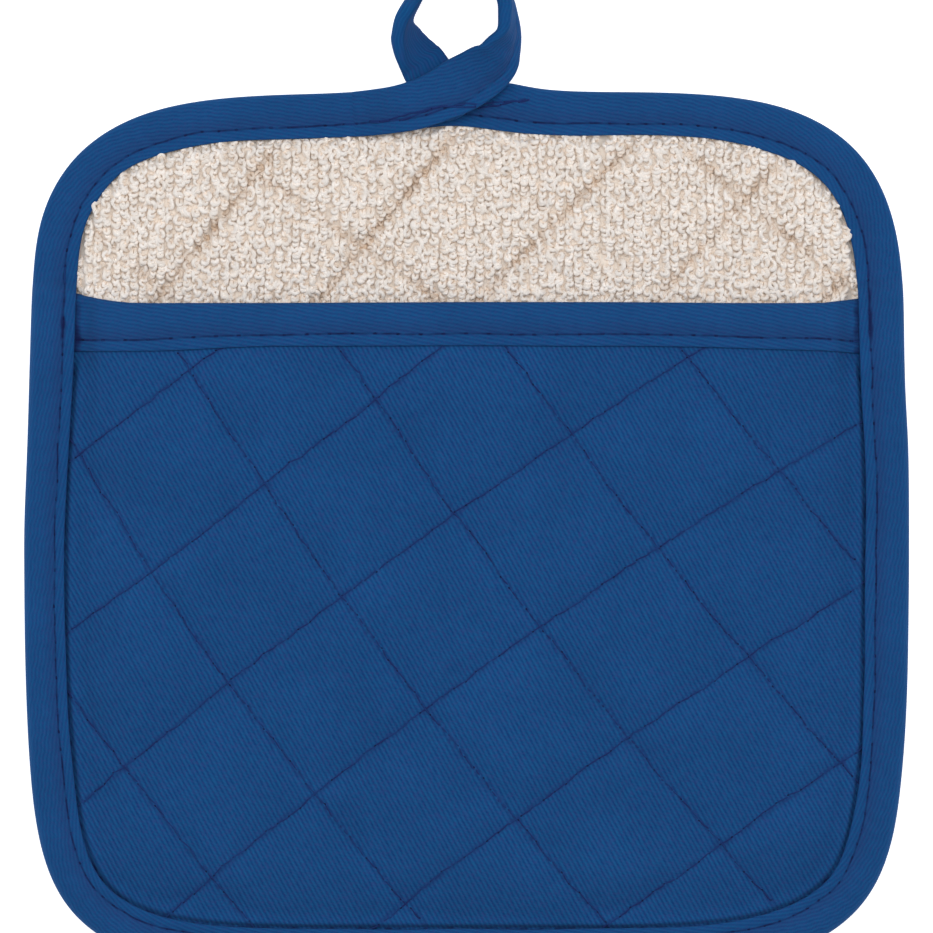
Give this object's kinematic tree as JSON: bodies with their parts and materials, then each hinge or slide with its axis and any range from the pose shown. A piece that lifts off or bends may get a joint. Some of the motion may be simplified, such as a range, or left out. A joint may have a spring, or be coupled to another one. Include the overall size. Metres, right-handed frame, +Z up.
{
  "type": "pot holder",
  "caption": "Square quilted pot holder with rounded corners, a twill hand pocket over a terry pad, a folded twill binding and a hanging loop made from the binding's free end.",
  "frame": {"origin": "under the middle of the whole thing, on the surface it lies on", "axes": "+Y from the middle towards the hanging loop, +X to the right seen from the pocket side, +Z up out of the pocket side"},
  "size_m": [0.2032, 0.2309, 0.0159],
  "materials": {
    "terry": "looped cotton pile",
    "pocket_twill": "matte cotton twill, quilted",
    "binding_twill": "matte cotton twill, cut on a slant",
    "thread": "spun sewing thread"
  },
  "bodies": {
    "root": {"back_panel": "terry", "pocket_panel": "pocket_twill", "pocket_binding": "binding_twill", "edge_binding": "binding_twill"}
  },
  "joints": []
}
